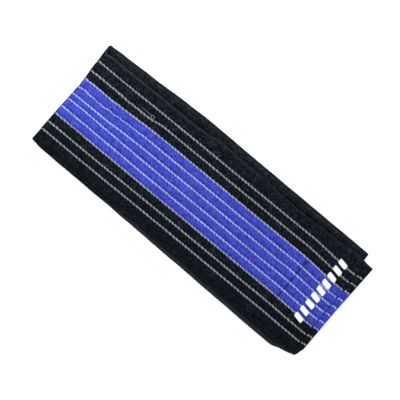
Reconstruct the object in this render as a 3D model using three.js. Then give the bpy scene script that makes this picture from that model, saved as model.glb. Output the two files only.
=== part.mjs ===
// Wrist wrap: a striped knitted elastic band, folded in half and lying flat,
// with a patch of hook tape sewn under its free end.
// Millimetres, +Z up. X runs along the band towards the free end, Y across it.
// The origin is on the flat underside, in the middle of the length, under the middle stripes.

import * as THREE from "three";

// Band, as knitted
const bandWidth = 75;
const bandThickness = 2;

// Band, as folded
const topRunLength = 225; // from the outside of the fold to the free end
const endStep = 7.3; // the lower run stops this far short of the free end
const layerGap = 0.4; // between the two runs where they lie on each other
const foldOpening = 2.2; // clear height inside the loop of the fold
const foldBulge = 30; // the runs come together over this length from the fold
const hookRamp = 20; // the top run climbs onto the hook tape over this length

// Raised cord lines, knitted in along the whole band
const cordCount = 10;
const cordMargin = 8.9; // from each edge of the band to its outermost cord
const cordWidth = 1.3;
const cordHeight = 0.45;

// Hook tape
const hookLength = 34;
const hookMargin = 4.5; // from each edge of the band to the tape
const hookThickness = 1.2;
const hookInset = 3; // from the free end to the tape
const hookCorner = 2.5;
const clearance = 0.3; // between the tape and each run

// Seams that press a groove into the outer face of the top run
const hemDepth = 4.8; // from the free end to the hem seam
const seamInset = 1.6; // from the tape's inner edge to the seam that holds it
const seamWidth = 2.4;
const seamDip = 0.35;

// Steps of the surface
const topStep = 10;
const lowerStep = 16;
const leastStep = 0.5; // marks closer than this share one step
const foldSteps = 10;
const selvedgeSteps = 4;

// Edges of the top run. at: share of its length from the fold. low, high: how far each
// edge lies towards +Y of its place on a straight band, as a share of the band's width.
const topEdges = [
  { at: 0, low: -0.012, high: -0.026 },
  { at: 0.04, low: -0.031, high: -0.011 },
  { at: 0.15, low: -0.033, high: -0.006 },
  { at: 0.26, low: -0.036, high: -0.004 },
  { at: 0.35, low: -0.009, high: -0.004 },
  { at: 0.44, low: -0.006, high: 0.022 },
  { at: 0.56, low: -0.006, high: 0.017 },
  { at: 0.73, low: -0.007, high: -0.003 },
  { at: 0.85, low: -0.01, high: 0.005 },
  { at: 0.94, low: -0.013, high: 0.019 },
  { at: 1, low: -0.006, high: 0.006 },
];

// Edges of the lower run, which lies relaxed and a little wider. at: share of its length
// from the fold. Its low corner tapers in at the end.
const lowerEdges = [
  { at: 0, low: -0.017, high: 0.057 },
  { at: 0.05, low: -0.027, high: 0.063 },
  { at: 0.15, low: -0.029, high: 0.078 },
  { at: 0.29, low: -0.034, high: 0.095 },
  { at: 0.37, low: -0.041, high: 0.102 },
  { at: 0.58, low: -0.054, high: 0.098 },
  { at: 0.72, low: -0.063, high: 0.095 },
  { at: 0.87, low: -0.069, high: 0.092 },
  { at: 0.945, low: -0.072, high: 0.092 },
  { at: 1, low: -0.02, high: 0.088 },
];

// The outside of the fold hollows in a little. across: share of the width from the low
// edge. inward: share of the band's width.
const foldLine = [
  { across: 0, inward: 0 },
  { across: 0.35, inward: 0.012 },
  { across: 0.68, inward: 0.024 },
  { across: 0.86, inward: 0.009 },
  { across: 1, inward: -0.002 },
];
const foldLineReach = 0.2; // share of the top run's length over which the hollow fades out

// The free end is cut a little askew, and its low corner is worn round.
const endLine = [
  { across: 0, inward: 0.039 },
  { across: 0.04, inward: 0.026 },
  { across: 0.1, inward: 0.017 },
  { across: 1, inward: 0 },
];
const endLineReach = 0.06;

// Soft swells of the top run. at, across: the middle of each, as shares of the length and
// the width. long, wide: half its spread, as shares of the same. rise: share of the thickness.
const swells = [
  { at: 0.1, across: 0.62, long: 0.06, wide: 0.2, rise: 0.35 },
  { at: 0.2, across: 0.8, long: 0.07, wide: 0.16, rise: 0.22 },
  { at: 0.3, across: 0.12, long: 0.08, wide: 0.2, rise: 0.3 },
  { at: 0.4, across: 0.96, long: 0.07, wide: 0.18, rise: 0.4 },
  { at: 0.53, across: 0.5, long: 0.1, wide: 0.35, rise: 0.18 },
  { at: 0.66, across: 0.04, long: 0.09, wide: 0.16, rise: 0.3 },
  { at: 0.71, across: 0.92, long: 0.07, wide: 0.2, rise: 0.25 },
];

// The thickness closes over the last stretch of each end. back: share of the thickness
// from the end. full: share of the thickness that is left there.
const endRounding = [
  { back: 0.5, full: 1 },
  { back: 0.16, full: 0.82 },
  { back: 0, full: 0.42 },
];

const smooth = (t) => t * t * (3 - 2 * t);
const ramp = (from, to, x) => smooth(THREE.MathUtils.clamp((x - from) / (to - from), 0, 1));
const bell = (x) => Math.exp(-x * x);

// A column of a table, read between its rows along a smooth step.
function readTable(table, key, column, x) {
  const next = table.findIndex((row) => row[key] >= x);
  if (next === 0) return table[0][column];
  if (next < 0) return table[table.length - 1][column];
  const a = table[next - 1];
  const b = table[next];
  return THREE.MathUtils.lerp(a[column], b[column], ramp(a[key], b[key], x));
}

const cordPitch = (bandWidth - 2 * cordMargin) / (cordCount - 1);
const hookWidth = bandWidth - 2 * hookMargin;
const lowerRunLength = topRunLength - endStep;
const innerRadius = foldOpening / 2;
const outerRadius = innerRadius + bandThickness;
const hookSpace = hookThickness + 2 * clearance;
const hookStart = topRunLength - hookInset - hookLength;

// Clear height under the top run, x along the band from the fold.
function gapUnder(x) {
  const closing = THREE.MathUtils.lerp(foldOpening, layerGap, ramp(outerRadius, foldBulge, x));
  const climbing = ramp(hookStart - hookRamp, hookStart - clearance, x);
  return THREE.MathUtils.lerp(closing, hookSpace, climbing);
}

// Extra height of the top run from its swells, none over the fold or the hook tape.
function swellAt(x, across) {
  const free = ramp(outerRadius, foldBulge, x) * (1 - ramp(hookStart - hookRamp, hookStart, x));
  const rise = swells.reduce((sum, s) => {
    const along = bell((x / topRunLength - s.at) / s.long);
    return sum + s.rise * along * bell((across - s.across) / s.wide);
  }, 0);
  return free * rise * bandThickness;
}

// Depth that the two seams press into the outer face.
function seamAt(x) {
  const hem = bell((x - topRunLength + hemDepth) / (seamWidth / 2));
  const patch = bell((x - hookStart - seamInset) / (seamWidth / 2));
  return seamDip * Math.max(hem, patch);
}

// Distances that hold every mark, in order, with the stretches between split into even steps.
function spread(marks, step) {
  const sorted = marks.toSorted((a, b) => a - b);
  const apart = sorted.filter((mark, i) => i === 0 || mark - sorted[i - 1] > leastStep);
  return apart.slice(0, -1).flatMap((from, i) => {
    const reach = apart[i + 1] - from;
    const count = Math.ceil(reach / step);
    return Array.from({ length: count }, (_, j) => from + (reach * j) / count);
  }).concat(apart.at(-1));
}

// One station of the band: where its inner face is in X and Z, which way its outer face
// lies from there, its two edges in Y, and how it is pressed or rounded.
function runStation(length, edges, isTop, back, full = 1) {
  const x = length - back;
  const at = x / length;
  return {
    inner: (across) => ({
      x,
      z: bandThickness + (isTop ? gapUnder(x) + swellAt(x, across) : 0),
    }),
    outward: { x: 0, z: isTop ? 1 : -1 },
    low: (-0.5 + readTable(edges, "at", "low", at)) * bandWidth,
    high: (0.5 + readTable(edges, "at", "high", at)) * bandWidth,
    cord: isTop ? 1 : 0,
    dip: isTop ? seamAt(x) : 0,
    foldShare: 1 - ramp(outerRadius, foldLineReach * topRunLength, x),
    endShare: isTop ? ramp((1 - endLineReach) * topRunLength, topRunLength, x) : 0,
    full,
  };
}

function foldStation(turn) {
  const angle = -Math.PI / 2 - turn * Math.PI;
  const outward = { x: Math.cos(angle), z: Math.sin(angle) };
  const edge = (column) => THREE.MathUtils.lerp(
    readTable(lowerEdges, "at", column, outerRadius / lowerRunLength),
    readTable(topEdges, "at", column, outerRadius / topRunLength),
    smooth(turn),
  );
  return {
    inner: () => ({
      x: outerRadius + innerRadius * outward.x,
      z: outerRadius + innerRadius * outward.z,
    }),
    outward,
    low: (-0.5 + edge("low")) * bandWidth,
    high: (0.5 + edge("high")) * bandWidth,
    cord: smooth(turn),
    dip: 0,
    foldShare: 1,
    endShare: 0,
    full: 1,
  };
}

// The whole path: in along the lower run, round the fold, and out along the top run.
function bandStations() {
  const rounded = endRounding.map((row) => ({ ...row, back: row.back * bandThickness }));
  const lastFull = rounded[0].back;
  const between = (edges, length, more, step) => {
    const inside = [...edges.map((row) => (1 - row.at) * length), ...more]
      .filter((back) => back > lastFull + leastStep && back < length - outerRadius - leastStep);
    return spread([lastFull, ...inside, length - outerRadius], step).slice(1, -1);
  };
  const seamMarks = [hemDepth, topRunLength - hookStart - seamInset]
    .flatMap((seam) => [-1, -0.5, 0, 0.5, 1].map((side) => seam + side * seamWidth));
  const lower = between(lowerEdges, lowerRunLength, [], lowerStep);
  const top = between(topEdges, topRunLength, seamMarks, topStep).toReversed();
  const onLower = (back, full) => runStation(lowerRunLength, lowerEdges, false, back, full);
  const onTop = (back, full) => runStation(topRunLength, topEdges, true, back, full);
  return [
    ...rounded.toReversed().map((row) => onLower(row.back, row.full)),
    ...lower.map((back) => onLower(back)),
    ...Array.from({ length: foldSteps + 1 }, (_, i) => foldStation(i / foldSteps)),
    ...top.map((back) => onTop(back)),
    ...rounded.map((row) => onTop(row.back, row.full)),
  ];
}

// The section across the band, as points of Y and height over the inner face, from the low
// edge along the outer face with its cords, round the selvedge and back along the inner face.
function section(station) {
  const radius = bandThickness / 2;
  const outer = bandThickness - station.dip;
  const rise = cordHeight * station.cord;
  const selvedge = (y, side) => Array.from({ length: selvedgeSteps + 1 }, (_, i) => {
    const angle = Math.PI / 2 - (i * Math.PI) / selvedgeSteps;
    const pressed = i === 0 ? station.dip : 0;
    return [y - side * radius * (1 - Math.cos(angle)), radius * (1 + Math.sin(angle)) - pressed];
  });
  const cords = Array.from({ length: cordCount }, (_, i) => {
    const y = (i - (cordCount - 1) / 2) * cordPitch;
    return [
      [y - cordWidth / 2, outer],
      [y - cordWidth / 4, outer + rise],
      [y + cordWidth / 4, outer + rise],
      [y + cordWidth / 2, outer],
    ];
  }).flat();
  const innerFace = [0.25, 0, -0.25].map((share) => [share * bandWidth, 0]);
  return [
    ...selvedge(station.low, -1).toReversed(),
    ...cords,
    ...selvedge(station.high, 1),
    ...innerFace,
  ];
}

// The ring of points in space for one station.
function ring(station) {
  return section(station).map(([y, height]) => {
    const across = (y - station.low) / (station.high - station.low);
    const flat = bandThickness / 2 + (height - bandThickness / 2) * station.full;
    const inner = station.inner(across);
    const hollow = station.foldShare * readTable(foldLine, "across", "inward", across);
    const askew = station.endShare * readTable(endLine, "across", "inward", across);
    return new THREE.Vector3(
      inner.x + station.outward.x * flat + (hollow - askew) * bandWidth - topRunLength / 2,
      y,
      inner.z + station.outward.z * flat,
    );
  });
}

// A closed body from rings of equal count, with a fan of triangles from the middle of each end.
function loft(rings) {
  const count = rings[0].length;
  const middleOf = (points) => points
    .reduce((sum, p) => sum.add(p), new THREE.Vector3())
    .divideScalar(count);
  const ends = [rings[0], rings[rings.length - 1]].map(middleOf);
  const positions = [...rings.flat(), ...ends].flatMap((p) => [p.x, p.y, p.z]);
  const last = (rings.length - 1) * count;
  const middle = rings.length * count;
  const index = [];
  for (let j = 0; j < count; j += 1) {
    const k = (j + 1) % count;
    for (let i = 0; i + 1 < rings.length; i += 1) {
      const a = i * count + j;
      const b = i * count + k;
      index.push(a, a + count, b, b, a + count, b + count);
    }
    index.push(middle, j, k);
    index.push(middle + 1, last + k, last + j);
  }
  const geometry = new THREE.BufferGeometry();
  geometry.setAttribute("position", new THREE.Float32BufferAttribute(positions, 3));
  geometry.setIndex(index);
  geometry.computeVertexNormals();
  return geometry;
}

// The knitted band: one closed solid bent back on itself at the fold.
function elasticBand() {
  const geometry = loft(bandStations().map(ring));
  const material = new THREE.MeshStandardMaterial({ color: "#17181c", roughness: 0.9, metalness: 0 });
  const mesh = new THREE.Mesh(geometry, material);
  mesh.name = "elastic_band";
  return mesh;
}

// The hook tape: a thin plate with rounded corners between the two runs, under the free end.
function hookPatch() {
  const shape = new THREE.Shape();
  const x = hookLength / 2;
  const y = hookWidth / 2;
  const r = hookCorner;
  shape.moveTo(-x + r, -y);
  shape.lineTo(x - r, -y);
  shape.absarc(x - r, -y + r, r, -Math.PI / 2, 0);
  shape.lineTo(x, y - r);
  shape.absarc(x - r, y - r, r, 0, Math.PI / 2);
  shape.lineTo(-x + r, y);
  shape.absarc(-x + r, y - r, r, Math.PI / 2, Math.PI);
  shape.lineTo(-x, -y + r);
  shape.absarc(-x + r, -y + r, r, Math.PI, Math.PI * 1.5);
  const geometry = new THREE.ExtrudeGeometry(shape, {
    depth: hookThickness,
    bevelEnabled: false,
    curveSegments: 5,
  });
  const material = new THREE.MeshStandardMaterial({ color: "#121214", roughness: 0.6, metalness: 0 });
  const mesh = new THREE.Mesh(geometry, material);
  mesh.name = "hook_patch";
  mesh.position.set(hookStart + x - topRunLength / 2, 0, bandThickness + clearance);
  return mesh;
}

const wristWrap = new THREE.Group();
wristWrap.add(elasticBand(), hookPatch());

export default wristWrap;
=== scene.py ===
from functools import partial

import bpy
import numpy as np
from mathutils import Matrix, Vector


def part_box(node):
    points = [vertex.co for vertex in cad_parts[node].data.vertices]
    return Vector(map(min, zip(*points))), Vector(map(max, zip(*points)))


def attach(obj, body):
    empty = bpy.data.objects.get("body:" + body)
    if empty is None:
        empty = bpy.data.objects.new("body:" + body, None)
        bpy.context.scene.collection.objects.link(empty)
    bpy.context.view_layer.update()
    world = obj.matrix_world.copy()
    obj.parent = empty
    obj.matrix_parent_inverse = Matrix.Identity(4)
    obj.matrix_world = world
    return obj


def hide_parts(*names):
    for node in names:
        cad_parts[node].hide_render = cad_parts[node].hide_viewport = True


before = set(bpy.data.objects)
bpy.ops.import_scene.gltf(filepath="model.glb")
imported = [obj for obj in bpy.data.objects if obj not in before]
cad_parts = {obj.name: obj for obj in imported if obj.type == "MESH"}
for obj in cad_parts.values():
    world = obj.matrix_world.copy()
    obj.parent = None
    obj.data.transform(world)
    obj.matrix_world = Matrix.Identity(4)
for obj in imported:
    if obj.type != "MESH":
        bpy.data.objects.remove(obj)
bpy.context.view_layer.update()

scene = bpy.context.scene


# The view: a long lens almost straight above the wrap, turned so that the band runs from the
# upper left to the lower right. The floor is a plain pale board that glows a little, as a light
# table does, and the light is a bright room with one soft lamp that stands low beside the fold.
MM = 0.001
VIEW_ACROSS = np.radians(39.8)
VIEW_HEIGHT = np.radians(83.0)
VIEW_DISTANCE = 1.2
VIEW_LENS_MM = 165.3
AIM = np.array([-2.05, 0.9, 2.5]) * MM


def plain_colour(hex_text):
    """An sRGB hex colour as linear red, green, blue and a full alpha, by the sRGB curve."""
    srgb = np.array([int(hex_text[i : i + 2], 16) for i in (1, 3, 5)]) / 255
    linear = np.where(srgb <= 0.04045, srgb / 12.92, ((srgb + 0.055) / 1.055) ** 2.4)
    return (*linear.tolist(), 1.0)


def add_node(tree, kind, *inputs, named=(), **settings):
    """Adds a shader node, sets its settings, and feeds its inputs in order or by name.

    A node fed to an input gives its first output, and anything else but a socket is a value.
    """
    node = tree.nodes.new("ShaderNode" + kind)
    for name, value in settings.items():
        setattr(node, name, value)
    ordered = zip([socket for socket in node.inputs if socket.enabled], inputs)
    by_name = [(node.inputs[name], value) for name, value in dict(named).items()]
    for socket, value in [*ordered, *by_name]:
        if isinstance(value, bpy.types.Node):
            value = next(output for output in value.outputs if output.enabled)
        if isinstance(value, bpy.types.NodeSocket):
            tree.links.new(value, socket)
        else:
            socket.default_value = value
    return node


def new_material(name):
    """An empty node material, and the function that adds nodes to it."""
    material = bpy.data.materials.new(name)
    material.use_nodes = True
    material.node_tree.nodes.clear()
    return material, partial(add_node, material.node_tree)


def turned_towards(place, target):
    """Columns right, up and back of something level at place that looks at target."""
    back = (place - target) / np.linalg.norm(place - target)
    right = np.cross([0.0, 0.0, 1.0], back)
    right /= np.linalg.norm(right)
    return np.stack([right, np.cross(back, right), back], axis=1)


def put_looking(name, data, place, target):
    """An object for a camera or a lamp, at place and facing target."""
    matrix = np.eye(4)
    matrix[:3, :3] = turned_towards(place, target)
    matrix[:3, 3] = place
    obj = bpy.data.objects.new(name, data)
    obj.matrix_world = Matrix(matrix)
    scene.collection.objects.link(obj)
    return obj


level = np.cos(VIEW_HEIGHT)
forward = np.array([-np.sin(VIEW_ACROSS) * level, np.cos(VIEW_ACROSS) * level, -np.sin(VIEW_HEIGHT)])
camera_data = bpy.data.cameras.new("camera")
camera_data.lens = VIEW_LENS_MM
camera_data.sensor_width = 36.0
camera_data.sensor_fit = "HORIZONTAL"
camera_data.clip_start = 0.01
scene.camera = put_looking("camera", camera_data, AIM - forward * VIEW_DISTANCE, AIM)

FLOOR_HALF = 3.0
FLOOR_DROP = 0.1 * MM
FLOOR_COLOUR = "#FCFCFA"
FLOOR_LAMPS = "#FFFFFF"
FLOOR_GLOW = 0.28
floor_mesh = bpy.data.meshes.new("floor")
floor_mesh.from_pydata(
    [(x * FLOOR_HALF, y * FLOOR_HALF, -FLOOR_DROP) for x, y in ((-1, -1), (1, -1), (1, 1), (-1, 1))],
    [],
    [(0, 1, 2, 3)],
)
floor = bpy.data.objects.new("floor", floor_mesh)
scene.collection.objects.link(floor)
# Opal acrylic, matt white and lit from below: a bright even ground with faint shadows.
board, node = new_material("matt opal acrylic board")
acrylic = node(
    "BsdfPrincipled",
    named={
        "Base Color": plain_colour(FLOOR_COLOUR),
        "Roughness": 0.9,
        "Emission Color": plain_colour(FLOOR_LAMPS),
        "Emission Strength": FLOOR_GLOW,
    },
)
node("OutputMaterial", acrylic)
floor_mesh.materials.append(board)

ROOM_COLOUR = "#F8F9FF"
ROOM_STRENGTH = 1.2
world = bpy.data.worlds.new("studio")
world.use_nodes = True
room = world.node_tree.nodes["Background"].inputs
room["Color"].default_value = plain_colour(ROOM_COLOUR)
room["Strength"].default_value = ROOM_STRENGTH
scene.world = world
scene.view_settings.view_transform = "Standard"

LAMP_PLACE = np.array([-0.21, 0.05, 0.2])
LAMP_SIZE = 0.22
LAMP_WATTS = 0.54
lamp_data = bpy.data.lights.new("window", "AREA")
lamp_data.shape = "SQUARE"
lamp_data.size = LAMP_SIZE
lamp_data.energy = LAMP_WATTS
lamp = put_looking("window", lamp_data, LAMP_PLACE, np.zeros(3))
lamp.visible_camera = False


# The band: one length of black knitted elastic with a blue middle, two millimetres thick,
# folded in half. The top run is drawn a little narrower than the lower run, whose edges show
# past it on both sides. Made as a closed skin from sections carried along the folded path.
THICK = 2.0
WIDTH = 75.0
TOP_LENGTH = 225.0
LOWER_LENGTH = 217.7
FOLD_X = -TOP_LENGTH / 2
FOLD_OPENING = 2.2
LAYER_GAP = 0.4
HOOK_SPACE = 1.8
HOOK_START = 188.0
HOOK_RAMP = 20.0
FOLD_BULGE = 30.0
INNER_RADIUS = FOLD_OPENING / 2
OUTER_RADIUS = INNER_RADIUS + THICK
TAPE_SEAM = HOOK_START + 1.6
HEM_SEAM = TOP_LENGTH - 4.8
SEAM_HALF_WIDTH = 1.2
SEAM_DIP = 0.35
CORD_COUNT = 10
CORD_PITCH = 6.42
CORD_MIDDLE = 0.3
CORD_STITCH = 2.72
# Lengths are in millimetres, up to surface_points, which gives metres. A cord's place across
# the band is its number, 0 to 9, and the band's edges are at -1 and 10.
LOW_EDGE, LAST_CORD, HIGH_EDGE = -1, CORD_COUNT - 1, CORD_COUNT

# Edges, as shares of the width past a straight band's, at shares of each run's length.
TOP_EDGES = {
    "at": [0, 0.04, 0.15, 0.26, 0.35, 0.44, 0.56, 0.73, 0.85, 0.94, 1],
    "low": [-0.012, -0.031, -0.033, -0.036, -0.009, -0.006, -0.006, -0.007, -0.01, -0.013, -0.006],
    "high": [-0.026, -0.011, -0.006, -0.004, -0.004, 0.022, 0.017, -0.003, 0.005, 0.019, 0.006],
}
LOWER_EDGES = {
    "at": [0, 0.05, 0.15, 0.29, 0.37, 0.58, 0.72, 0.87, 0.945, 0.9725, 1],
    "low": [-0.017, -0.027, -0.029, -0.033, -0.039, -0.048, -0.056, -0.063, -0.064, -0.032, -0.002],
    "high": [0.067, 0.074, 0.084, 0.102, 0.109, 0.101, 0.097, 0.093, 0.092, 0.09, 0.088],
}
# How far the fold's line and the free end's line lie inwards, and the lower run's end line
# outwards at its low corner, as shares of the width. Each fades along its run, from or to the
# share of the run's length that is given first.
FOLD_LINE_REACH = 0.2
END_LINE_FROM = 0.94
CORNER_FROM = 0.945
FOLD_LINE = {"across": [0, 0.32, 0.6, 0.8, 1], "inward": [-0.003, -0.001, 0.007, -0.007, -0.018]}
END_LINE = {"across": [0, 0.04, 0.1, 0.4, 0.8, 1], "inward": [0.039, 0.026, 0.011, 0.009, 0.002, -0.011]}
LOWER_END_LINE = {"across": [0, 0.3, 1], "outward": [0.057, 0, 0]}
# Soft swells of the top run: middle and half spread as shares, rise in thicknesses.
SWELLS = {
    "at": [0.1, 0.2, 0.3, 0.4, 0.53, 0.66, 0.71],
    "across": [0.62, 0.8, 0.12, 0.96, 0.5, 0.04, 0.92],
    "long": [0.06, 0.07, 0.08, 0.07, 0.1, 0.09, 0.07],
    "wide": [0.2, 0.16, 0.2, 0.18, 0.35, 0.16, 0.2],
    "rise": [0.35, 0.22, 0.3, 0.4, 0.18, 0.3, 0.25],
}
# Each cord's place beside its even pitch, its drift where the band was creased, how far from
# the fold it drifts in full and from where it runs straight again, and how much it wavers near
# the fold, all in millimetres. "thin" is the share of its thickness that it has lost there.
CORD_DRIFT = {
    "beside": [-0.2, -0.25, -0.15, -0.6, -0.6, -0.6, -0.6, -0.45, -0.3, -0.25],
    "drift": [-0.5, -0.45, 0.05, 0.35, 0.6, -1.3, -1.9, -1.7, -1.7, -0.4],
    "drifts_to": [30, 27.5, 23.75, 21.25, 17.5, 16, 15.25, 17, 50, 15],
    "straight_from": [120, 110, 95, 85, 70, 64, 61, 68, 62, 60],
    "restless": [0.02, 0.02, 0.03, 0.05, 0.05, 0.04, 0.24, 0.07, 0.09, 0.02],
    "thin": [0.05, 0.0, 0.05, 0.1, 0.1, 0.0, 0.35, -0.05, -0.1, 0.1],
}
# Towards the free end all cords shift and close up, and past the hem seam they step sideways.
END_SHIFT, END_CLOSE_UP = -0.33, -0.15
END_SHIFT_FROM, END_SHIFT_TO = 182.0, 214.0
HEM_STEP = 0.8
HEM_STEP_FROM, HEM_STEP_TO = TOP_LENGTH - 5.2, TOP_LENGTH - 3.4
CORD_WAVER = 0.035
# Relief of the outer face, in millimetres: panels swell between grooves, and so do the margins
# outside the cords. The ladder is a line of open loops on the high side of each cord, at this
# share of a panel. The selvedge is beaded, and the floor presses the lower run flat.
PANEL_SWELL, MARGIN_SWELL = 0.17, 0.1
GROOVE_DEPTH, GROOVE_HALF_WIDTH = 0.2, 0.75
LADDER_PLACE, LADDER_DEPTH = 0.235, 0.1
PUCKER, COURSE_RISE, CREASE = 0.08, 0.03, 0.1
FLOOR_PRESS = 0.12
EDGE_BEAD, EDGE_BEAD_INSET, EDGE_BEAD_HALF = 0.14, 1.3, 0.9
EDGE_SCALLOP, EDGE_RIPPLE = 0.05, 0.03
# Thickness left at the rounded ends of the band, as a share, and stations round such an end.
TIP_LEAST, TIP_STATIONS = 0.3, 6
# Columns of the band's ring: across one panel, on a margin, on a selvedge and on the back.
PANEL_COLUMNS = [0, 0.06, 0.12, 0.18, 0.25, 0.33, 0.5, 0.68, 0.8, 0.88, 0.94]
MARGIN_COLUMNS, SELVEDGE_COLUMNS, BACK_COLUMNS = 11, 7, 43


def ease(start, stop, x):
    """0 before start, 1 after stop, and the smooth step 3t^2 - 2t^3 between them."""
    t = np.clip((np.asarray(x, float) - start) / (stop - start), 0, 1)
    return t * t * (3 - 2 * t)


def bell(x):
    """The bell curve exp(-x^2)."""
    return np.exp(-np.square(x))


def from_table(table, key, column, x):
    """A column of a table at x, read along a smooth step between its rows."""
    keys, values = np.array(table[key], float), np.array(table[column], float)
    x = np.clip(x, keys[0], keys[-1])
    row = np.clip(np.searchsorted(keys, x, side="right") - 1, 0, len(keys) - 2)
    part = ease(0, 1, (x - keys[row]) / (keys[row + 1] - keys[row]))
    return values[row] * (1 - part) + values[row + 1] * part


def waver(x, seed, longest, shortest, waves=7):
    """A smooth random line of height about 1: sines from the longest to the shortest wave."""
    chance = np.random.default_rng(seed)
    lengths = np.geomspace(longest, shortest, waves)
    turns = chance.random(waves)
    heights = chance.normal(size=waves)
    heights /= np.sqrt(np.square(heights).sum() / 2)
    x = np.asarray(x, float)[..., None]
    return (heights * np.sin(2 * np.pi * (x / lengths + turns))).sum(-1)


def folded_path(lower_step, top_step, fold_count):
    """Stations along the folded band, as arrays.

    The lower run goes back to the fold, with its inner face one thickness up. The fold is a
    half circle about a point one outer radius up. The top run goes out again, its inner face
    one thickness and the gap up. "along" is the length run so far at mid thickness. "turn" goes
    from 0 on the lower run to 1 on the top run, which "on_top" marks, and "closed" is the share
    of the thickness that is left where an end of the band is rounded off.
    """
    straight_lower = LOWER_LENGTH - OUTER_RADIUS
    straight_top = TOP_LENGTH - OUTER_RADIUS
    tips = THICK / 2 * (1 - np.cos(np.linspace(0, np.pi / 2, TIP_STATIONS)))
    lower_back = np.arange(tips[-1] + lower_step, straight_lower - lower_step / 2, lower_step)
    top_out = np.arange(top_step, straight_top - tips[-1] - top_step / 2, top_step)
    turn = np.linspace(0, 1, fold_count)
    x = np.concatenate(
        [
            LOWER_LENGTH - tips,
            LOWER_LENGTH - lower_back,
            np.full(fold_count, OUTER_RADIUS),
            OUTER_RADIUS + top_out,
            TOP_LENGTH - tips[::-1],
        ]
    )
    lower_count, top_count = len(tips) + len(lower_back), len(top_out) + len(tips)
    turn = np.concatenate([np.zeros(lower_count), turn, np.ones(top_count)])
    swing = -np.pi / 2 - turn * np.pi
    out_x, out_z = np.cos(swing), np.sin(swing)
    in_fold = np.repeat([False, True, False], [lower_count, fold_count, top_count])
    closing = FOLD_OPENING + (LAYER_GAP - FOLD_OPENING) * ease(OUTER_RADIUS, FOLD_BULGE, x)
    gap = closing + (HOOK_SPACE - closing) * ease(HOOK_START - HOOK_RAMP, HOOK_START - 0.3, x)
    inner_z = np.where(turn > 0.5, THICK + gap, THICK)
    inner_z = np.where(in_fold, OUTER_RADIUS + INNER_RADIUS * out_z, inner_z)
    inner_x = np.where(in_fold, OUTER_RADIUS + INNER_RADIUS * out_x, x)
    closed = np.ones(len(x))
    closed[: len(tips)] = np.sin(np.linspace(0, np.pi / 2, len(tips)))
    closed[-len(tips) :] = closed[: len(tips)][::-1]
    middle_x, middle_z = inner_x + out_x * THICK / 2, inner_z + out_z * THICK / 2
    along = np.concatenate([[0], np.cumsum(np.hypot(np.diff(middle_x), np.diff(middle_z)))])
    return {
        "x": x,
        "inner_x": inner_x,
        "inner_z": inner_z,
        "out_x": out_x,
        "out_z": out_z,
        "turn": turn,
        "on_top": (turn > 0.99) * 1.0,
        "closed": np.maximum(closed, TIP_LEAST),
        "along": along,
    }


def on_top_run(x):
    """Stations of the top run at distances x from the fold, read off a fine folded path."""
    fine = folded_path(lower_step=2.4, top_step=0.3, fold_count=24)
    top = fine["on_top"] > 0
    return {name: np.interp(x, fine["x"][top], values[top]) for name, values in fine.items()}


def fold_edge_along():
    """Length run so far at the outermost line of the fold, a quarter circle before its end."""
    return float(on_top_run(OUTER_RADIUS)["along"]) - np.pi / 2 * (INNER_RADIUS + THICK / 2)


def band_edges(path):
    """Low and high edge in Y at each station, eased from the lower run's to the top run's.

    Small scallops, one to each row of stitches, show where the yarn turns back at the edge.
    """
    lower_at, top_at = path["x"] / LOWER_LENGTH, path["x"] / TOP_LENGTH
    part = ease(0.35, 1, path["turn"])
    scallop = EDGE_SCALLOP * np.abs(np.sin(np.pi * path["along"] / CORD_STITCH))
    both = []
    for column, side, seed in (("low", -1, 3), ("high", 1, 4)):
        lower = from_table(LOWER_EDGES, "at", column, lower_at)
        top = from_table(TOP_EDGES, "at", column, top_at)
        ripple = EDGE_RIPPLE * waver(path["along"], seed, 24, 5) + side * scallop
        both.append((side * 0.5 + lower * (1 - part) + top * part) * WIDTH + ripple)
    return both


def cord_lines(path):
    """Y of each cord at each station: even pitch, and the drift that fades from the fold.

    Towards the free end the pitch tightens by 2 in 100, the last few millimetres step
    sideways behind the hem seam, and each cord wavers by itself.
    """
    number = np.arange(CORD_COUNT)
    even = CORD_MIDDLE + (number - LAST_CORD / 2) * CORD_PITCH
    even = even + np.array(CORD_DRIFT["beside"])
    x, top = path["x"][:, None], ease(0.3, 0.7, path["turn"])[:, None]
    drifts_to, straight_from = (np.array(CORD_DRIFT[name]) for name in ("drifts_to", "straight_from"))
    drift = np.array(CORD_DRIFT["drift"]) * (1 - ease(drifts_to, straight_from, x))
    tighter = (END_SHIFT + END_CLOSE_UP * number) * ease(END_SHIFT_FROM, END_SHIFT_TO, x) * top
    step = HEM_STEP * ease(HEM_STEP_FROM, HEM_STEP_TO, x) * top
    own = np.stack([waver(path["along"], 20 + n, 40, 5) for n in number], axis=1)
    restless = np.array(CORD_DRIFT["restless"]) * bell((x - 20) / 24) * top
    return even + drift + tighter + step + own * (CORD_WAVER + restless)


def seam_dips(path):
    """How far the two seams across the top run press its outer face in."""
    pressed = [bell((path["x"] - place) / SEAM_HALF_WIDTH) for place in (TAPE_SEAM, HEM_SEAM)]
    return SEAM_DIP * np.maximum(*pressed) * path["on_top"]


def swell_height(path, across):
    """Rise of the top run's soft swells, free of the fold and of the hook tape."""
    x = path["x"]
    free = ease(OUTER_RADIUS, FOLD_BULGE, x) * (1 - ease(HOOK_START - HOOK_RAMP, HOOK_START, x))
    free = free * path["on_top"]
    at, side, long, wide, rise = (np.array(column) for column in SWELLS.values())
    lump = bell((x[:, None, None] / TOP_LENGTH - at) / long) * bell((across[..., None] - side) / wide)
    return free[:, None] * (lump * rise).sum(-1) * THICK


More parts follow.
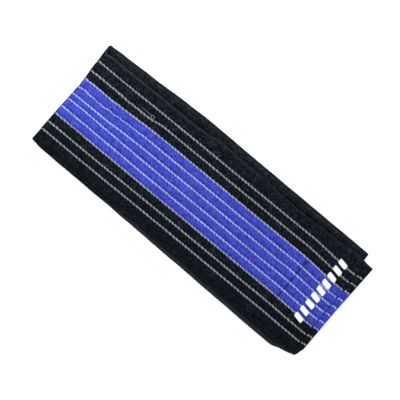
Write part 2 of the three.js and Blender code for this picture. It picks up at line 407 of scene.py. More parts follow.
def surface_points(path, edges, y, height):
    """Points in metres for Y and height over the inner face, on a grid of station by column.

    The fold's line, the free end's line and the lower run's low corner move along X by the
    shares in their tables, and the swells lift the top run.
    """
    low, high = (edge[:, None] for edge in edges)
    across = (y - low) / (high - low)
    fold_share = (1 - ease(OUTER_RADIUS, FOLD_LINE_REACH * TOP_LENGTH, path["x"]))[:, None]
    hollow = fold_share * from_table(FOLD_LINE, "across", "inward", across)
    end_share = (ease(END_LINE_FROM, 1, path["x"] / TOP_LENGTH) * path["on_top"])[:, None]
    askew = end_share * from_table(END_LINE, "across", "inward", across)
    corner_share = (ease(CORNER_FROM, 1, path["x"] / LOWER_LENGTH) * (path["turn"] < 0.01))[:, None]
    corner = corner_share * from_table(LOWER_END_LINE, "across", "outward", across)
    x = FOLD_X + path["inner_x"][:, None] + path["out_x"][:, None] * height
    z = path["inner_z"][:, None] + path["out_z"][:, None] * height + swell_height(path, across)
    return np.stack([x + (hollow - askew + corner) * WIDTH, y, z], axis=-1) * MM


def knit_relief(path, place, y):
    """Relief of the outer face: pillowed panels, grooves beside the cords and soft puckers.

    place counts the cords from 0 at the lowest, so its fraction runs across one panel.
    Seams dip it, and on the lower run the floor presses it flat.
    """
    part = place - np.floor(place)
    inside = (place > 0) & (place < LAST_CORD)
    to_cord = np.where(inside, np.minimum(part, 1 - part), np.abs(place - np.clip(place, 0, LAST_CORD)))
    panel, margin = PANEL_SWELL * np.sin(np.pi * part), MARGIN_SWELL * bell((to_cord - 0.5) / 0.4)
    pillow = np.where(inside, panel, margin)
    groove = GROOVE_DEPTH * bell(to_cord * CORD_PITCH / GROOVE_HALF_WIDTH)
    ladder = LADDER_DEPTH * bell((part - LADDER_PLACE) / 0.1)
    along = path["along"][:, None]
    pucker = PUCKER * waver(along + 1.3 * y, 31, 16, 3) * waver(y - 0.4 * along, 32, 14, 3.4)
    course = COURSE_RISE * np.cos(2 * np.pi * (along + 0.25 * y) / CORD_STITCH)
    crease = CREASE * waver(along + 0.5 * y, 33, 14, 5) * bell((path["x"][:, None] - 14) / 16)
    relief = pillow - groove - ladder + pucker + course + crease * (path["turn"][:, None] > 0.5)
    bending = np.sin(np.pi * np.clip(path["turn"], 0, 1))[:, None]
    relief = relief * (1 - 0.6 * bending) - seam_dips(path)[:, None]
    pressed = 1 - ease(0, 0.5, path["turn"])[:, None]
    return relief * (1 - 0.8 * pressed) - FLOOR_PRESS * pressed


def grid_faces(rows, columns):
    """Quads of a grid of rows by columns, its last column joined to the first."""
    i = np.arange(rows - 1)[:, None]
    j = np.arange(columns)[None, :]
    k = (j + 1) % columns
    corners = (i * columns + j, (i + 1) * columns + j, (i + 1) * columns + k, i * columns + k)
    return np.stack(np.broadcast_arrays(*corners), axis=-1).reshape(-1, 4)


def close_ends(rows, columns):
    """Fans of triangles round two more points, the middles of the first and last ring."""
    j = np.arange(columns)
    k = (j + 1) % columns
    first, last = np.full(columns, rows * columns), np.full(columns, rows * columns + 1)
    end = (rows - 1) * columns
    return np.concatenate([np.stack([first, j, k], 1), np.stack([last, end + k, end + j], 1)])


def with_middles(points):
    """Each grid's points in one row, with the middles of its first and last ring after them."""
    ends = np.stack([points[..., 0, :, :].mean(-2), points[..., -1, :, :].mean(-2)], axis=-2)
    flat = points.reshape(*points.shape[:-3], -1, 3)
    return np.concatenate([flat, ends], axis=-2)


def build_piece(name, points, places, outward=1):
    """A smooth closed mesh from rings of points, shaped (..., rings, ring points, 3).

    Every ring is joined to the next, and the first and last are closed by fans. The places
    go into the attribute band_place. outward is -1 where the rings run the other way round.
    """
    rows, columns = points.shape[-3:-1]
    flat, places = with_middles(points), with_middles(places)
    starts = np.arange(flat[..., 0, 0].size) * flat.shape[-2]
    groups = [grid_faces(rows, columns), close_ends(rows, columns)]
    groups = [(g[None, :, ::outward] + starts[:, None, None]).reshape(-1, g.shape[1]) for g in groups]
    counts = np.concatenate([np.full(len(g), g.shape[1]) for g in groups])
    corners = np.concatenate([g.ravel() for g in groups])
    mesh = bpy.data.meshes.new(name)
    mesh.vertices.add(flat.size // 3)
    mesh.vertices.foreach_set("co", flat.ravel())
    mesh.loops.add(len(corners))
    mesh.loops.foreach_set("vertex_index", corners)
    mesh.polygons.add(len(counts))
    mesh.polygons.foreach_set("loop_start", np.concatenate([[0], np.cumsum(counts)[:-1]]))
    mesh.update(calc_edges=True)
    mesh.validate()
    mesh.polygons.foreach_set("use_smooth", np.ones(len(mesh.polygons), bool))
    attribute = mesh.attributes.new("band_place", "FLOAT_VECTOR", "POINT")
    attribute.data.foreach_set("vector", places.ravel())
    obj = bpy.data.objects.new(name, mesh)
    scene.collection.objects.link(obj)
    return obj


def stacked(*columns):
    """Columns of numbers spread to one shape and put together as points."""
    return np.stack(np.broadcast_arrays(*columns), axis=-1).astype(float)


def cloth_knots(path, edges):
    """Y of the places -1 to 10 at each station: the low edge, the ten cords, the high edge."""
    low, high = edges
    inset = THICK / 2
    return np.column_stack([low + inset, cord_lines(path), high - inset])


def knitted_band():
    """The closed skin of the band.

    Its ring runs along the outer face, over one selvedge as a half circle, back along the
    inner face and over the other selvedge. Columns follow the cords, so grooves stay clean.
    The third value of band_place is 1 on the inner face and 0 on the outer.
    """
    path = folded_path(lower_step=2.4, top_step=0.85, fold_count=26)
    edges = band_edges(path)
    low, high = (edge[:, None] for edge in edges)
    knots = cloth_knots(path, edges)
    panels = (np.arange(LAST_CORD)[:, None] + PANEL_COLUMNS).ravel()
    margin = np.linspace(0, 1, MARGIN_COLUMNS, endpoint=False)
    outer_place = np.concatenate([LOW_EDGE + margin, panels, [LAST_CORD], HIGH_EDGE - margin[::-1]])
    inner_place = np.linspace(HIGH_EDGE, LOW_EDGE, BACK_COLUMNS + 2)[1:-1]

    def y_at(place):
        left = np.clip(np.floor(place).astype(int), LOW_EDGE, LAST_CORD)
        part = place - left
        return knots[:, left + 1] * (1 - part) + knots[:, left + 2] * part

    outer_y, inner_y = y_at(outer_place), y_at(inner_place)
    relief = knit_relief(path, np.broadcast_to(outer_place, outer_y.shape), outer_y)
    inwards = (outer_y - low, high - outer_y)
    bead = sum(EDGE_BEAD * bell((inset - EDGE_BEAD_INSET) / EDGE_BEAD_HALF) for inset in inwards)
    outer_height = THICK + relief + bead * (path["turn"][:, None] > 0.5)
    radius = THICK / 2
    angle = np.linspace(np.pi / 2, -np.pi / 2, SELVEDGE_COLUMNS + 2)[1:-1]
    reach, rise = radius * np.cos(angle), radius * (1 + np.sin(angle))
    high_y = high - radius + reach
    low_y = (low + radius - reach)[:, ::-1]
    blank = np.zeros((len(low), len(angle)))
    inner_height = 0.05 * np.cos(2 * np.pi * inner_place) + 0.03 * waver(inner_y, 41, 20, 4)
    y = np.concatenate([low_y, outer_y, high_y, inner_y], axis=1)
    height = np.concatenate([blank + rise[::-1], outer_height, blank + rise, inner_height], axis=1)
    past_edge = 0.16 * reach / radius
    place = np.concatenate([LOW_EDGE - past_edge[::-1], outer_place, HIGH_EDGE + past_edge, inner_place])
    outer, inner = np.zeros(len(outer_place), bool), np.ones(len(inner_place), bool)
    inside = np.concatenate([rise[::-1] < radius, outer, rise < radius, inner])
    height = radius + (height - radius) * path["closed"][:, None]
    points = surface_points(path, edges, y, height)
    return build_piece("knitted_band", points, stacked(path["along"][:, None], place, inside * 1.0))


# Knitted polyester and rubber elastic: matt and deep in colour, with the gaps between rows of
# V stitches darker, partly as the yarn's own colour and partly as painted shade. A real stitch is
# 0.7 mm, which the render would lose, so they are drawn at 1.28 mm across and 1.36 mm along,
# two to each stitch of a cord.
BLACK_YARN = "#0C1014"
BLUE_YARN = "#3A42A8"
BACK_OF_CORD = "#85898E"
STITCHES_PER_PANEL = 5.0
STITCH_LONG = CORD_STITCH / 2
BLUE_FROM, BLUE_TO = 2.0, 7.0
BLOTCH_TONES = (0.76, 1.24)
CHANCE_TONES = (0.74, 1.24)
LADDER_SPREAD, LADDER_TONE = 0.13, 0.42
INNER_FACE_TONE = 1.35
# Painted shade in lines across the band, round the fold where it turns away from the light and in
# the dips of the two seams: fully dark up to the first distance, gone at the second, and the tone
# that they start from.
FOLD_PAINTED_SHADE = (1.0, 2.3, 0.2)
TAPE_SEAM_PAINTED_SHADE = (0.2, 1.1, 0.6)
HEM_SEAM_PAINTED_SHADE = (0.2, 1.1, 0.8)
# What pale fibre and painted light add to the colour: lint with painted sheen, thinned on the low
# side as painted shade, a painted highlight along the selvedge near and far from the fold, and
# painted highlights on the rims of the inner face, all tinted a little blue.
LINT_AND_SHEEN = 0.023
SELVEDGE_HIGHLIGHT_NEAR_FOLD, SELVEDGE_HIGHLIGHT_FAR = 0.02, 0.005
INNER_RIM_HIGHLIGHT = 0.014
PALE_TINT = (0.8, 1.0, 1.25)
# Tone of the painted shade on what the other run covers, at the fold and at the open end.
COVERED_SHADE_AT_FOLD, COVERED_SHADE_AT_END = 0.6, 0.1


def elastic_material():
    """Stitch height is |cos| along each leaning leg of the V, times a round across its column.

    Tone is that height, so the gaps between stitches are darker, partly as the yarn's own colour
    and partly as painted shade, times soft blotches and chance from stitch to stitch, less a ragged
    dark ladder line on the high side of each cord, and less as painted shade in the dips of the two
    seams and round the fold, where the band turns away from the light. Blue lies between two cords.
    Pale lint and painted sheen in lengthwise streaks, thinned on the low side as painted shade, a
    painted highlight along the high selvedge, brightest near the fold, and painted highlights on the
    rims of the inner face, strongest on the low side, are added on top. What the other run covers is
    darkened as painted shade, most of all towards its open end.
    """
    material, node = new_material("knitted polyester elastic")
    place = node("Attribute", attribute_name="band_place").outputs["Vector"]
    along, across, inner = node("SeparateXYZ", place).outputs
    spot = node("VectorMath", node("TexCoord").outputs["Object"], 1 / MM, operation="SCALE")
    uneven = node("Math", node("TexNoise", spot, 0.5, 3.0), 0.5, operation="SUBTRACT")
    column = node("Math", across, STITCHES_PER_PANEL, operation="MULTIPLY")
    column = node("Math", uneven, 0.5, column, operation="MULTIPLY_ADD")
    side = node("Math", node("Math", column, operation="FRACT"), 0.5, operation="SUBTRACT")
    side = node("Math", side, operation="ABSOLUTE")
    edge = node("Math", node("Math", side, 2.0, operation="MULTIPLY"), 3.0, operation="POWER")
    leg = node("Math", along, 1 / STITCH_LONG, side, operation="MULTIPLY_ADD")
    leg = node("Math", uneven, 1.1, leg, operation="MULTIPLY_ADD")
    loop = node("Math", node("Math", leg, np.pi, operation="MULTIPLY"), operation="COSINE")
    loop = node("Math", loop, operation="ABSOLUTE")
    stitch = node("Math", loop, node("Math", 1.0, edge, operation="SUBTRACT"), operation="MULTIPLY")
    fibre = node("TexNoise", spot, 3.2, 5.0, 0.7)
    height = node("Math", fibre, 0.6, stitch, operation="MULTIPLY_ADD")
    column, leg = node("Math", column, operation="FLOOR"), node("Math", leg, operation="FLOOR")
    by_stitch = node("TexWhiteNoise", node("CombineXYZ", column, leg, 0.0))

    # Tone.
    # Tone from stitch height: darker in the gaps, partly the yarn's own colour and partly painted shade.
    tone = node("MapRange", height, 0.2, 1.3, 0.62, 1.15)
    to_ladder = node("Math", node("Math", across, operation="FRACT"), LADDER_PLACE, operation="SUBTRACT")
    to_ladder = node("Math", to_ladder, operation="ABSOLUTE")
    ragged = node("MapRange", node("TexNoise", spot, 0.8, 2.0), 0.3, 0.7, 0.0, LADDER_SPREAD)
    to_ladder = node("Math", to_ladder, ragged, operation="ADD")
    factors = [
        node("MapRange", node("TexNoise", spot, 0.42, 4.0, 0.6), 0.32, 0.68, *BLOTCH_TONES),
        node("MapRange", by_stitch, 0.0, 1.0, *CHANCE_TONES),
        node("MapRange", to_ladder, 0.0, 1.6 * LADDER_SPREAD, LADDER_TONE, 1.0),
        node("MapRange", inner, 0.4, 0.6, 1.0, INNER_FACE_TONE),
    ]
    # Painted shade in lines across the band: round the fold, where it turns away from the light, and in
    # the dips of the two seams.
    lines = [fold_edge_along(), *on_top_run(np.array([TAPE_SEAM, HEM_SEAM]))["along"].tolist()]
    for middle, painted_shade_line in zip(lines, (FOLD_PAINTED_SHADE, TAPE_SEAM_PAINTED_SHADE, HEM_SEAM_PAINTED_SHADE)):
        offset = node("Math", along, middle, operation="SUBTRACT")
        offset = node("Math", offset, operation="ABSOLUTE")
        factors.append(node("MapRange", offset, *painted_shade_line, 1.0))
    for factor in factors:
        tone = node("Math", tone, factor, operation="MULTIPLY")

    # Yarn colours, with the backs of the cords as dashes on the inner face.
    above = node("Math", across, BLUE_FROM, operation="GREATER_THAN")
    below = node("Math", across, BLUE_TO, operation="LESS_THAN")
    is_blue = node("Math", above, below, operation="MULTIPLY")
    yarn = node("Mix", is_blue, plain_colour(BLACK_YARN), plain_colour(BLUE_YARN), data_type="RGBA")
    from_cord = node("Math", node("Math", across, 0.5, operation="ADD"), operation="FRACT")
    from_cord = node("Math", node("Math", from_cord, 0.5, operation="SUBTRACT"), operation="ABSOLUTE")
    dash = node("Math", node("Math", along, np.pi / CORD_STITCH, operation="MULTIPLY"), operation="SINE")
    dash = node("MapRange", node("Math", dash, operation="ABSOLUTE"), 0.35, 0.6, 0.0, 1.0)
    back = node("Math", node("MapRange", from_cord, 0.05, 0.09, 1.0, 0.0), dash, operation="MULTIPLY")
    back = node("Math", back, inner, operation="MULTIPLY")
    off_middle = node("Math", across, LAST_CORD / 2, operation="SUBTRACT")
    off_middle = node("Math", off_middle, operation="ABSOLUTE")
    has_cord = node("Math", off_middle, LAST_CORD / 2 + 0.3, operation="LESS_THAN")
    back = node("Math", back, has_cord, operation="MULTIPLY")
    yarn = node("Mix", back, yarn.outputs["Result"], plain_colour(BACK_OF_CORD), data_type="RGBA")
    shade = node("VectorMath", yarn.outputs["Result"], tone, operation="SCALE")

    # Lint with painted sheen, and painted highlights on the selvedge and the inner rims.
    lint_and_sheen = node("MapRange", node("TexNoise", spot, 0.9, 4.0, 0.75), 0.46, 0.7, 0.0, LINT_AND_SHEEN)
    lengthwise = node("CombineXYZ", node("Math", along, 0.05, operation="MULTIPLY"), across, 0.0)
    # The stitch factor lays the pale most on stitch tops as painted sheen; the last factor thins it on
    # the low side as painted shade.
    for factor in (
        node("MapRange", stitch, 0.1, 0.9, 0.25, 1.6),
        node("MapRange", by_stitch, 0.0, 1.0, 0.25, 1.6),
        node("MapRange", node("TexNoise", lengthwise, 3.5, 2.0), 0.3, 0.7, 0.45, 1.55),
        node("MapRange", across, 0.8, 1.4, 0.55, 1.05),
    ):
        lint_and_sheen = node("Math", lint_and_sheen, factor, operation="MULTIPLY")
    from_fold = node("Math", along, fold_edge_along(), operation="SUBTRACT")
    from_fold = node("Math", from_fold, operation="ABSOLUTE")
    # Painted highlight along the high selvedge, brightest near the fold, nearest the lamp.
    wear_and_highlight = node("MapRange", from_fold, 0.0, 0.7 * TOP_LENGTH, SELVEDGE_HIGHLIGHT_NEAR_FOLD, SELVEDGE_HIGHLIGHT_FAR)
    selvedge = node("MapRange", across, HIGH_EDGE - 0.16, HIGH_EDGE + 0.04, 0.0, wear_and_highlight)
    outer = node("Math", 1.0, inner, operation="SUBTRACT")
    selvedge = node("Math", selvedge, outer, operation="MULTIPLY")
    # Painted highlight on the rims of the inner face, strongest on the low side.
    rim = node("MapRange", off_middle, 5.2, 5.55, 0.0, INNER_RIM_HIGHLIGHT)
    rim = node("Math", rim, node("MapRange", across, 0.0, LAST_CORD, 1.0, 0.4), operation="MULTIPLY")
    rim = node("Math", rim, inner, operation="MULTIPLY")
    pale = node("Math", node("Math", lint_and_sheen, selvedge, operation="ADD"), rim, operation="ADD")

    # Painted shade on what the other run covers.
    covered_shade_tone = node("MapRange", from_fold, 0.0, LOWER_LENGTH, COVERED_SHADE_AT_FOLD, COVERED_SHADE_AT_END)
    painted_shade_under = node("MapRange", off_middle, 5.05, 5.32, covered_shade_tone, 1.0)
    painted_shade_under = node("Math", painted_shade_under, outer, operation="MAXIMUM")
    shade = node("VectorMath", shade, painted_shade_under, operation="SCALE")
    pale = node("Math", pale, painted_shade_under, operation="MULTIPLY")
    pale = node("VectorMath", PALE_TINT, pale, operation="SCALE")
    shade = node("VectorMath", shade, pale, operation="ADD")
    bump = node("Bump", named={"Height": height.outputs[0], "Strength": 0.8, "Distance": 0.2 * MM})
    cloth = node(
        "BsdfPrincipled",
        named={
            "Base Color": shade.outputs[0],
            "Roughness": 0.95,
            "IOR": 1.5,
            "Specular IOR Level": 0.02,
            "Normal": bump,
        },
    )
    node("OutputMaterial", cloth)
    return material


band = knitted_band()
band.data.materials.append(elastic_material())
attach(band, "root")
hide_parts("elastic_band")


# The cords: ten light polyester yarns, knitted in as one long stitch after another, so each
# shows as a row of slanted beads. They stand up from the outer face in shallow grooves, and
# the floor presses them in below.
BEAD_NECK = 0.38
BEAD_SWELL = 0.26
BEAD_SLANT = 0.22
CORD_FLATTEN = 0.75
CORD_SIDES = 12
CORD_TAPER = 1.2
HEM_PULL = 0.7
CORD_ON_BLACK = "#737679"
CORD_ON_BLUE = "#818EC7"


def beaded_cord(number):
    """A row of slanted beads as one skin: a round section carried along the folded path.

    Over each stitch the radius swells as a sine to the power 0.8, and the middle passes from
    one side to the other as a cosine, so that the next bead starts where this one did. The
    cord tapers at both ends, and the hem seam pulls it in. The third value of band_place is
    the swell, from 0 where a bead goes in to 1 at its middle.
    """
    path = folded_path(lower_step=0.45, top_step=0.4, fold_count=24)
    along = path["along"]
    part = (along / CORD_STITCH + 0.12 * waver(along, 90 + number, 60, 15)) % 1
    swell = np.sin(np.pi * part) ** 0.8
    near_fold = bell((path["x"] - 26) / 22) * path["turn"]
    size = 1 + 0.07 * waver(along, 70 + number, 24, 5) - CORD_DRIFT["thin"][number] * near_fold
    to_ends = np.clip(np.stack([along, along[-1] - along]) / CORD_TAPER, 0.05, 1)
    taper = np.sqrt(to_ends.prod(axis=0))
    radius = ((BEAD_NECK + BEAD_SWELL * swell) * size * taper)[:, None]
    slant = BEAD_SLANT * np.cos(np.pi * part)
    y = cord_lines(path)[:, number : number + 1] + slant[:, None]
    pressed = 1 - ease(0.1, 0.6, path["turn"])
    under_hem = HEM_PULL * bell((path["x"] - HEM_SEAM) / 0.9) * path["on_top"]
    middle = THICK + 0.02 + 0.03 * waver(along, 50 + number, 20, 6) - seam_dips(path) - under_hem
    middle = (middle * (1 - pressed) + (THICK - 0.5) * pressed)[:, None]
    angle = np.linspace(0, 2 * np.pi, CORD_SIDES, endpoint=False)
    height = middle + radius * np.sin(angle) * CORD_FLATTEN
    points = surface_points(path, band_edges(path), y + radius * np.cos(angle), height)
    places = stacked(along[:, None], number, np.repeat(swell[:, None], CORD_SIDES, axis=1))
    return build_piece(f"beaded_cord_{number + 1:02d}", points, places, outward=-1)


def cord_material():
    """Spun polyester yarn: light grey, darker where a bead goes in, with fine slanted fibres.

    On the blue middle the blue yarn shows through, so the cords there are lighter and bluer,
    and the two on its borders lie between, the low one nearer to grey. Round the fold they are
    darkened as painted shade, where the band turns away from the light.
    """
    material, node = new_material("spun polyester yarn")
    place = node("Attribute", attribute_name="band_place").outputs["Vector"]
    along, across, swell = node("SeparateXYZ", place).outputs
    spot = node("VectorMath", node("TexCoord").outputs["Object"], 1 / MM, operation="SCALE")
    from_middle = node("Math", across, (BLUE_FROM + BLUE_TO) / 2 + 0.15, operation="SUBTRACT")
    from_middle = node("Math", from_middle, operation="ABSOLUTE")
    on_blue = node("MapRange", from_middle, 2.0, 2.95, 1.0, 0.0)
    yarn = node("Mix", on_blue, plain_colour(CORD_ON_BLACK), plain_colour(CORD_ON_BLUE), data_type="RGBA")
    drawn_out = node("Mapping", spot, named={"Rotation": (0, 0, 0.3), "Scale": (0.5, 3.0, 3.0)})
    fibre = node("TexNoise", drawn_out, 1.2, 3.0)
    from_fold = node("Math", along, fold_edge_along(), operation="SUBTRACT")
    from_fold = node("Math", from_fold, operation="ABSOLUTE")
    going_in = node("MapRange", on_blue, 0.0, 1.0, 0.4, 0.7)
    tone = node("MapRange", swell, 0.0, 0.9, going_in, 1.1)
    # The last factor is painted shade round the fold.
    for factor in (
        node("MapRange", fibre, 0.3, 0.7, 0.75, 1.2),
        node("MapRange", node("TexNoise", spot, 0.12, 2.0), 0.3, 0.7, 0.82, 1.15),
        node("MapRange", from_fold, 0.8, 2.2, 0.25, 1.0),
    ):
        tone = node("Math", tone, factor, operation="MULTIPLY")
    shade = node("VectorMath", yarn.outputs["Result"], tone, operation="SCALE")
    bump = node("Bump", named={"Height": fibre.outputs[0], "Strength": 0.7, "Distance": 0.08 * MM})
    spun = node(
        "BsdfPrincipled",
        named={
            "Base Color": shade.outputs[0],
            "Roughness": 0.75,
            "IOR": 1.5,
            "Specular IOR Level": 0.3,
            "Normal": bump,
        },
    )
    node("OutputMaterial", spun)
    return material


spun_yarn = cord_material()
cords = [beaded_cord(number) for number in range(CORD_COUNT)]
for cord in cords:
    cord.data.materials.append(spun_yarn)
    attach(cord, "root")


# The snag: a strand of the second cord from the top was once caught and drawn out. It lies
# loose on the band beside its cord and ends in a small ring where it goes back in.
SNAG_START = np.array([41.2, 23.3])
SNAG_RING = np.array([51.9, 22.7])
SNAG_RADIUS = 1.25
SNAG_THIN, SNAG_FULL = 0.1, 0.22
SNAG_LIFT = 0.55
SNAG_CORD = 8


def strands(centres, radii, sides):
    """Rings round lines of points: circles of the given radii, square to each line.

    A circle's two axes are level and square to the line, and square to both, so a line may not
    stand upright. centres is shaped (..., points, 3) and radii (..., points).
    """
    ahead = np.gradient(centres, axis=-2)
    right = np.cross([0.0, 0.0, 1.0], ahead)
    right /= np.linalg.norm(right, axis=-1, keepdims=True)
    up = np.cross(ahead, right)
    up /= np.linalg.norm(up, axis=-1, keepdims=True)
    angle = np.linspace(0, 2 * np.pi, sides, endpoint=False)[:, None]
    circle = np.cos(angle) * right[..., None, :] + np.sin(angle) * up[..., None, :]
    return centres[..., None, :] + radii[..., None, None] * circle


def pulled_strand():
    """A straight run, then a turn and a quarter of a circle, its corners rounded off.

    Each point is the mean of itself and its three neighbours on both sides, which rounds the
    corners. The strand thickens and lifts off the band where the circle starts.
    """
    angle = np.radians(np.linspace(150, -300, 44))
    ring = SNAG_RING + SNAG_RADIUS * np.stack([np.cos(angle), np.sin(angle)], axis=-1)
    lead = SNAG_START + np.linspace(0, 1, 30)[:, None] * (ring[0] - SNAG_START)
    line = np.concatenate([lead[:-1], ring])
    x, y = (np.convolve(np.pad(values, 3, "edge"), np.ones(7) / 7, "valid") for values in line.T)
    share = np.linspace(0, 1, len(x))
    radii = SNAG_THIN + (SNAG_FULL - SNAG_THIN) * ease(0.3, 0.5, share)
    radii = radii * np.sqrt(np.clip(np.minimum(share, 1 - share) / 0.03, 0.1, 1))
    rise = THICK + 0.12 + SNAG_LIFT * ease(0.4, 0.6, share) * (1 - ease(0.9, 1, share))
    path = on_top_run(x)
    centres = surface_points(path, band_edges(path), y[:, None], rise[:, None])[:, 0]
    rings = strands(centres, radii * MM, 8)
    places = stacked(path["along"][:, None], SNAG_CORD, np.full((1, 8), 0.7))
    return build_piece("pulled_strand", rings, places, outward=-1)


snag = pulled_strand()
snag.data.materials.append(spun_yarn)
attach(snag, "root")


# The hook tape: woven nylon tape with rows of moulded hooks on its underside, sewn under the
# free end. The tape itself keeps its solid, and the hooks reach down to the lower run.
HOOK_PITCH_X, HOOK_PITCH_Y = 1.6, 1.35
HOOK_WIRE = 0.07
HOOK_MARGIN_X, HOOK_MARGIN_Y = 1.2, 1.5
# One hook, in millimetres from its root: forward along the band, and down.
HOOK_BEND = {"forward": [0, 0, 0.05, 0.19, 0.32], "down": [-0.04, 0.1, 0.19, 0.22, 0.14]}
TAPE_THREAD = 0.5
NYLON = "#1B1D20"


def hook_rows():
    """The same small bent wire at each crossing of a staggered grid on the tape's underside.

    Each wire leans sideways by a ten thousandth of a millimetre, so that it isn't upright.
    """
    low, high = (np.array(corner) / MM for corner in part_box("hook_patch"))
    x = np.arange(low[0] + HOOK_MARGIN_X, high[0] - HOOK_MARGIN_X, HOOK_PITCH_X)
    y = np.arange(low[1] + HOOK_MARGIN_Y, high[1] - HOOK_MARGIN_Y, HOOK_PITCH_Y)
    x, y = (grid.ravel() for grid in np.meshgrid(x, y, indexing="ij"))
    odd_row = np.round(y / HOOK_PITCH_Y) % 2
    x = x + HOOK_PITCH_X * (0.5 * odd_row - 0.25)
    forward, down = (np.array(column) for column in HOOK_BEND.values())
    lean = 0.001 * forward + np.linspace(0, 1e-4, len(forward))
    centres = stacked(x[:, None] + forward, y[:, None] + lean, low[2] - down) * MM
    rings = strands(centres, np.full(centres.shape[:-1], HOOK_WIRE * MM), 4)
    return build_piece("moulded_hooks", rings, np.zeros_like(rings), outward=-1)


def hook_tape_material():
    """Woven nylon: over and under squares of thread, from a sine along X times one along Y."""
    material, node = new_material("woven nylon hook tape")
    threads = np.pi / TAPE_THREAD / MM
    spot = node("VectorMath", node("TexCoord").outputs["Object"], threads, operation="SCALE")
    x, y, _ = node("SeparateXYZ", spot).outputs
    warp, weft = node("Math", x, operation="SINE"), node("Math", y, operation="SINE")
    weave = node("Math", warp, weft, operation="MULTIPLY")
    fibre = node("TexNoise", spot, 0.6, 3.0)
    height = node("Math", fibre, 0.5, weave, operation="MULTIPLY_ADD")
    tone = node("MapRange", height, -0.8, 1.3, 0.5, 1.3)
    shade = node("VectorMath", plain_colour(NYLON)[:3], tone, operation="SCALE")
    bump = node("Bump", named={"Height": height.outputs[0], "Strength": 0.7, "Distance": 0.1 * MM})
    nylon = node(
        "BsdfPrincipled",
        named={
            "Base Color": shade.outputs[0],
            "Roughness": 0.6,
            "IOR": 1.53,
            "Specular IOR Level": 0.15,
            "Normal": bump,
        },
    )
    node("OutputMaterial", nylon)
    return material


hook_tape = hook_tape_material()
hooks = hook_rows()
hooks.data.materials.append(hook_tape)
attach(hooks, "root")
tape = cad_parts["hook_patch"]
tape.data.materials.clear()
tape.data.materials.append(hook_tape)


# The seams: black bonded polyester thread. One row holds the inner edge of the tape, with a
# stitch across each panel and the thread under the cords. The hem row by the free end holds
# the cords down, and two rows along the band hold the sides of the tape.
THREAD_RADIUS = 0.23
THREAD_RISE, THREAD_DIVE = 0.08, 0.5
PLY_TURNS = 1.6
BLACK_THREAD = "#0B0E14"
TAPE_EDGE = WIDTH / 2 - 4.5
SIDE_SEAM_INSET = 1.5
SIDE_FROM, SIDE_TO = TAPE_SEAM + 2.2, HEM_SEAM - 1.5
SIDE_STITCH = 3.4
TAPE_UNEVEN, HEM_UNEVEN = 0.25, 0.2
# Length of a stitch that shows, as shares of the spacing of its row.
TAPE_SHOWS, HEM_SHOWS, SIDE_SHOWS = 0.62, 0.4, 0.75


def place_at(path, edges, y):
    """The place of Y near the free end: straight lines through both edges and outer cords."""
    knots = cloth_knots(path, edges)
    low, first, last, high = (knots[:, [column]] for column in (0, 1, -2, -1))
    inside = LAST_CORD * (y - first) / (last - first)
    below, above = (y - first) / (first - low), LAST_CORD + (y - last) / (high - last)
    return np.where(y < first, below, np.where(y > last, above, inside))


def sewn_rows(name, x, y, turn_along, long):
    """Stitches at the middles x, y, each a strand that dives into the cloth at both ends.

    The dive goes as the fourth power of the distance from the stitch's middle. The stitches
    lie across the band, or along it if turn_along is 1.
    """
    share = np.linspace(-0.5, 0.5, 11)
    x, y = x[:, None] + share * long * turn_along, y[:, None] + share * long * (1 - turn_along)
    path = on_top_run(x.ravel())
    edges = band_edges(path)
    flat_y = y.reshape(-1, 1)
    relief = knit_relief(path, place_at(path, edges, flat_y), flat_y)
    rise = THICK + relief + np.tile(THREAD_RISE - THREAD_DIVE * (2 * share) ** 4, len(x))[:, None]
    centres = surface_points(path, edges, flat_y, rise).reshape(*x.shape, 3)
    radii = np.broadcast_to(THREAD_RADIUS * MM * (1 - 0.4 * (2 * share) ** 8), x.shape)
    rings = strands(centres, radii, 8)
    places = stacked(share[:, None] * long, np.linspace(0, 1, 8), np.zeros((len(x), 1, 1)))
    return build_piece(name, rings, places, outward=-1)


def thread_material():
    """Bonded thread: three plies seen as slanted stripes, from a sine of length plus turn."""
    material, node = new_material("bonded polyester thread")
    place = node("Attribute", attribute_name="band_place").outputs["Vector"]
    along, around, _ = node("SeparateXYZ", place).outputs
    turn = node("Math", along, PLY_TURNS, around, operation="MULTIPLY_ADD")
    ply = node("Math", node("Math", turn, 2 * np.pi, operation="MULTIPLY"), operation="SINE")
    tone = node("MapRange", ply, -1.0, 1.0, 0.6, 1.3)
    shade = node("VectorMath", plain_colour(BLACK_THREAD)[:3], tone, operation="SCALE")
    bump = node("Bump", named={"Height": ply.outputs[0], "Strength": 0.6, "Distance": 0.06 * MM})
    thread = node(
        "BsdfPrincipled",
        named={
            "Base Color": shade.outputs[0],
            "Roughness": 0.5,
            "IOR": 1.55,
            "Specular IOR Level": 0.12,
            "Normal": bump,
        },
    )
    node("OutputMaterial", thread)
    return material


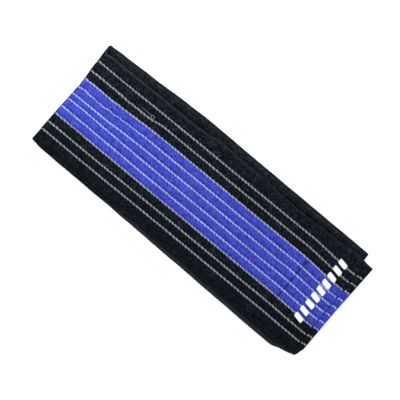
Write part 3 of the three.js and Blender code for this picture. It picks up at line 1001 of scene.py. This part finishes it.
bonded_thread = thread_material()
seam_line = cord_lines(on_top_run(np.array([TAPE_SEAM, HEM_SEAM])))
chance = np.random.default_rng(7)
panel_middles = np.append(seam_line[0] - CORD_PITCH / 2, seam_line[0, -1] + CORD_PITCH / 2)
panel_middles = panel_middles + chance.normal(0, TAPE_UNEVEN, len(panel_middles))
hem_middles = seam_line[1] + chance.normal(0, HEM_UNEVEN, CORD_COUNT)
side_places = np.arange(SIDE_FROM, SIDE_TO, SIDE_STITCH)
side_y = np.full(len(side_places), TAPE_EDGE - SIDE_SEAM_INSET)
tape_x, hem_x = np.full(len(panel_middles), TAPE_SEAM), np.full(CORD_COUNT, HEM_SEAM)
seams = [
    sewn_rows("tape_seam", tape_x, panel_middles, 0, CORD_PITCH * TAPE_SHOWS),
    sewn_rows("hem_seam", hem_x, hem_middles, 0, CORD_PITCH * HEM_SHOWS),
    sewn_rows("side_seam_low", side_places, -side_y, 1, SIDE_STITCH * SIDE_SHOWS),
    sewn_rows("side_seam_high", side_places, side_y, 1, SIDE_STITCH * SIDE_SHOWS),
]
for seam in seams:
    seam.data.materials.append(bonded_thread)
    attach(seam, "root")


# The print: a plain row of slanted white bars across the band near the free end, a thin film
# of ink that was pressed on hot. It follows the panels and lies over the cords as low ridges.
PRINT_MIDDLE = 208.8
PRINT_TALL = 6.6
PRINT_FROM, PRINT_TO = -19.0, 29.5
PRINT_BLOCKS = 9
PRINT_GAP = 2.0
PRINT_SLANT = -0.2
PRINT_CORNER = 0.9
INK_THICK = 0.16
INK_SUNK = 0.04
RIDGE_RISE, RIDGE_HALF_WIDTH = 0.76, 0.95
WHITE_INK = "#E8E9E0"


def printed_blocks():
    """Rounded blocks of ink, each a closed film.

    A ring runs over the film and back under it. The half width at a row is the block's, less
    the rounding of its corners, and the film thins to nothing at its rim.
    """
    pitch = (PRINT_TO - PRINT_FROM + PRINT_GAP) / PRINT_BLOCKS
    middles = PRINT_FROM + (np.arange(PRINT_BLOCKS) + 0.5) * pitch - PRINT_GAP / 2
    half_tall, half_wide = PRINT_TALL / 2, (pitch - PRINT_GAP) / 2
    rows = half_tall * np.sin(np.linspace(-np.pi / 2, np.pi / 2, 25))
    past = np.clip(np.abs(rows) - (half_tall - PRINT_CORNER), 0, PRINT_CORNER) / PRINT_CORNER
    wide = half_wide - PRINT_CORNER * (1 - np.sqrt(np.clip(1 - past**2, 0.02, 1)))
    over = np.linspace(-1, 1, 23)
    share = np.concatenate([over, over[-2:0:-1]])
    upper = np.concatenate([np.ones(len(over)), np.zeros(len(over) - 2)])
    path = on_top_run(PRINT_MIDDLE + rows)
    edges = band_edges(path)
    lines = cord_lines(path)
    y = middles[:, None, None] + wide[:, None] * share + PRINT_SLANT * rows[:, None]
    flat_y = y.transpose(1, 0, 2).reshape(len(rows), -1)
    relief = knit_relief(path, place_at(path, edges, flat_y), flat_y)
    ridge = RIDGE_RISE * bell((flat_y[:, :, None] - lines[:, None, :]) / RIDGE_HALF_WIDTH).max(-1)
    rim = (1 - np.abs(share) ** 10) * (1 - np.abs(rows / half_tall)[:, None] ** 14)
    film = np.tile(rim * (INK_THICK + INK_SUNK) * upper - INK_SUNK, (1, PRINT_BLOCKS))
    height = THICK + np.maximum(relief, ridge - 0.05) + film
    points = surface_points(path, edges, flat_y, height)
    points = points.reshape(len(rows), PRINT_BLOCKS, -1, 3).transpose(1, 0, 2, 3)
    return build_piece("printed_blocks", points, np.zeros_like(points))


def ink_material():
    """Heat-pressed ink: a white rubbery film, cracked a little where the band stretches."""
    material, node = new_material("heat-pressed plastisol ink")
    spot = node("VectorMath", node("TexCoord").outputs["Object"], 1 / MM, operation="SCALE")
    knit = node("TexNoise", spot, 1.4, 3.0, 0.6)
    crack = node("TexVoronoi", spot, 0.55, feature="DISTANCE_TO_EDGE")
    wear_and_highlight = node("MapRange", crack, 0.0, 0.05, 0.82, 1.0)
    tone = node("Math", wear_and_highlight, node("MapRange", knit, 0.3, 0.7, 0.9, 1.04), operation="MULTIPLY")
    shade = node("VectorMath", plain_colour(WHITE_INK)[:3], tone, operation="SCALE")
    bump = node("Bump", named={"Height": knit.outputs[0], "Strength": 0.4, "Distance": 0.12 * MM})
    ink = node(
        "BsdfPrincipled",
        named={"Base Color": shade.outputs[0], "Roughness": 0.6, "IOR": 1.5, "Normal": bump},
    )
    node("OutputMaterial", ink)
    return material


blocks = printed_blocks()
blocks.data.materials.append(ink_material())
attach(blocks, "root")
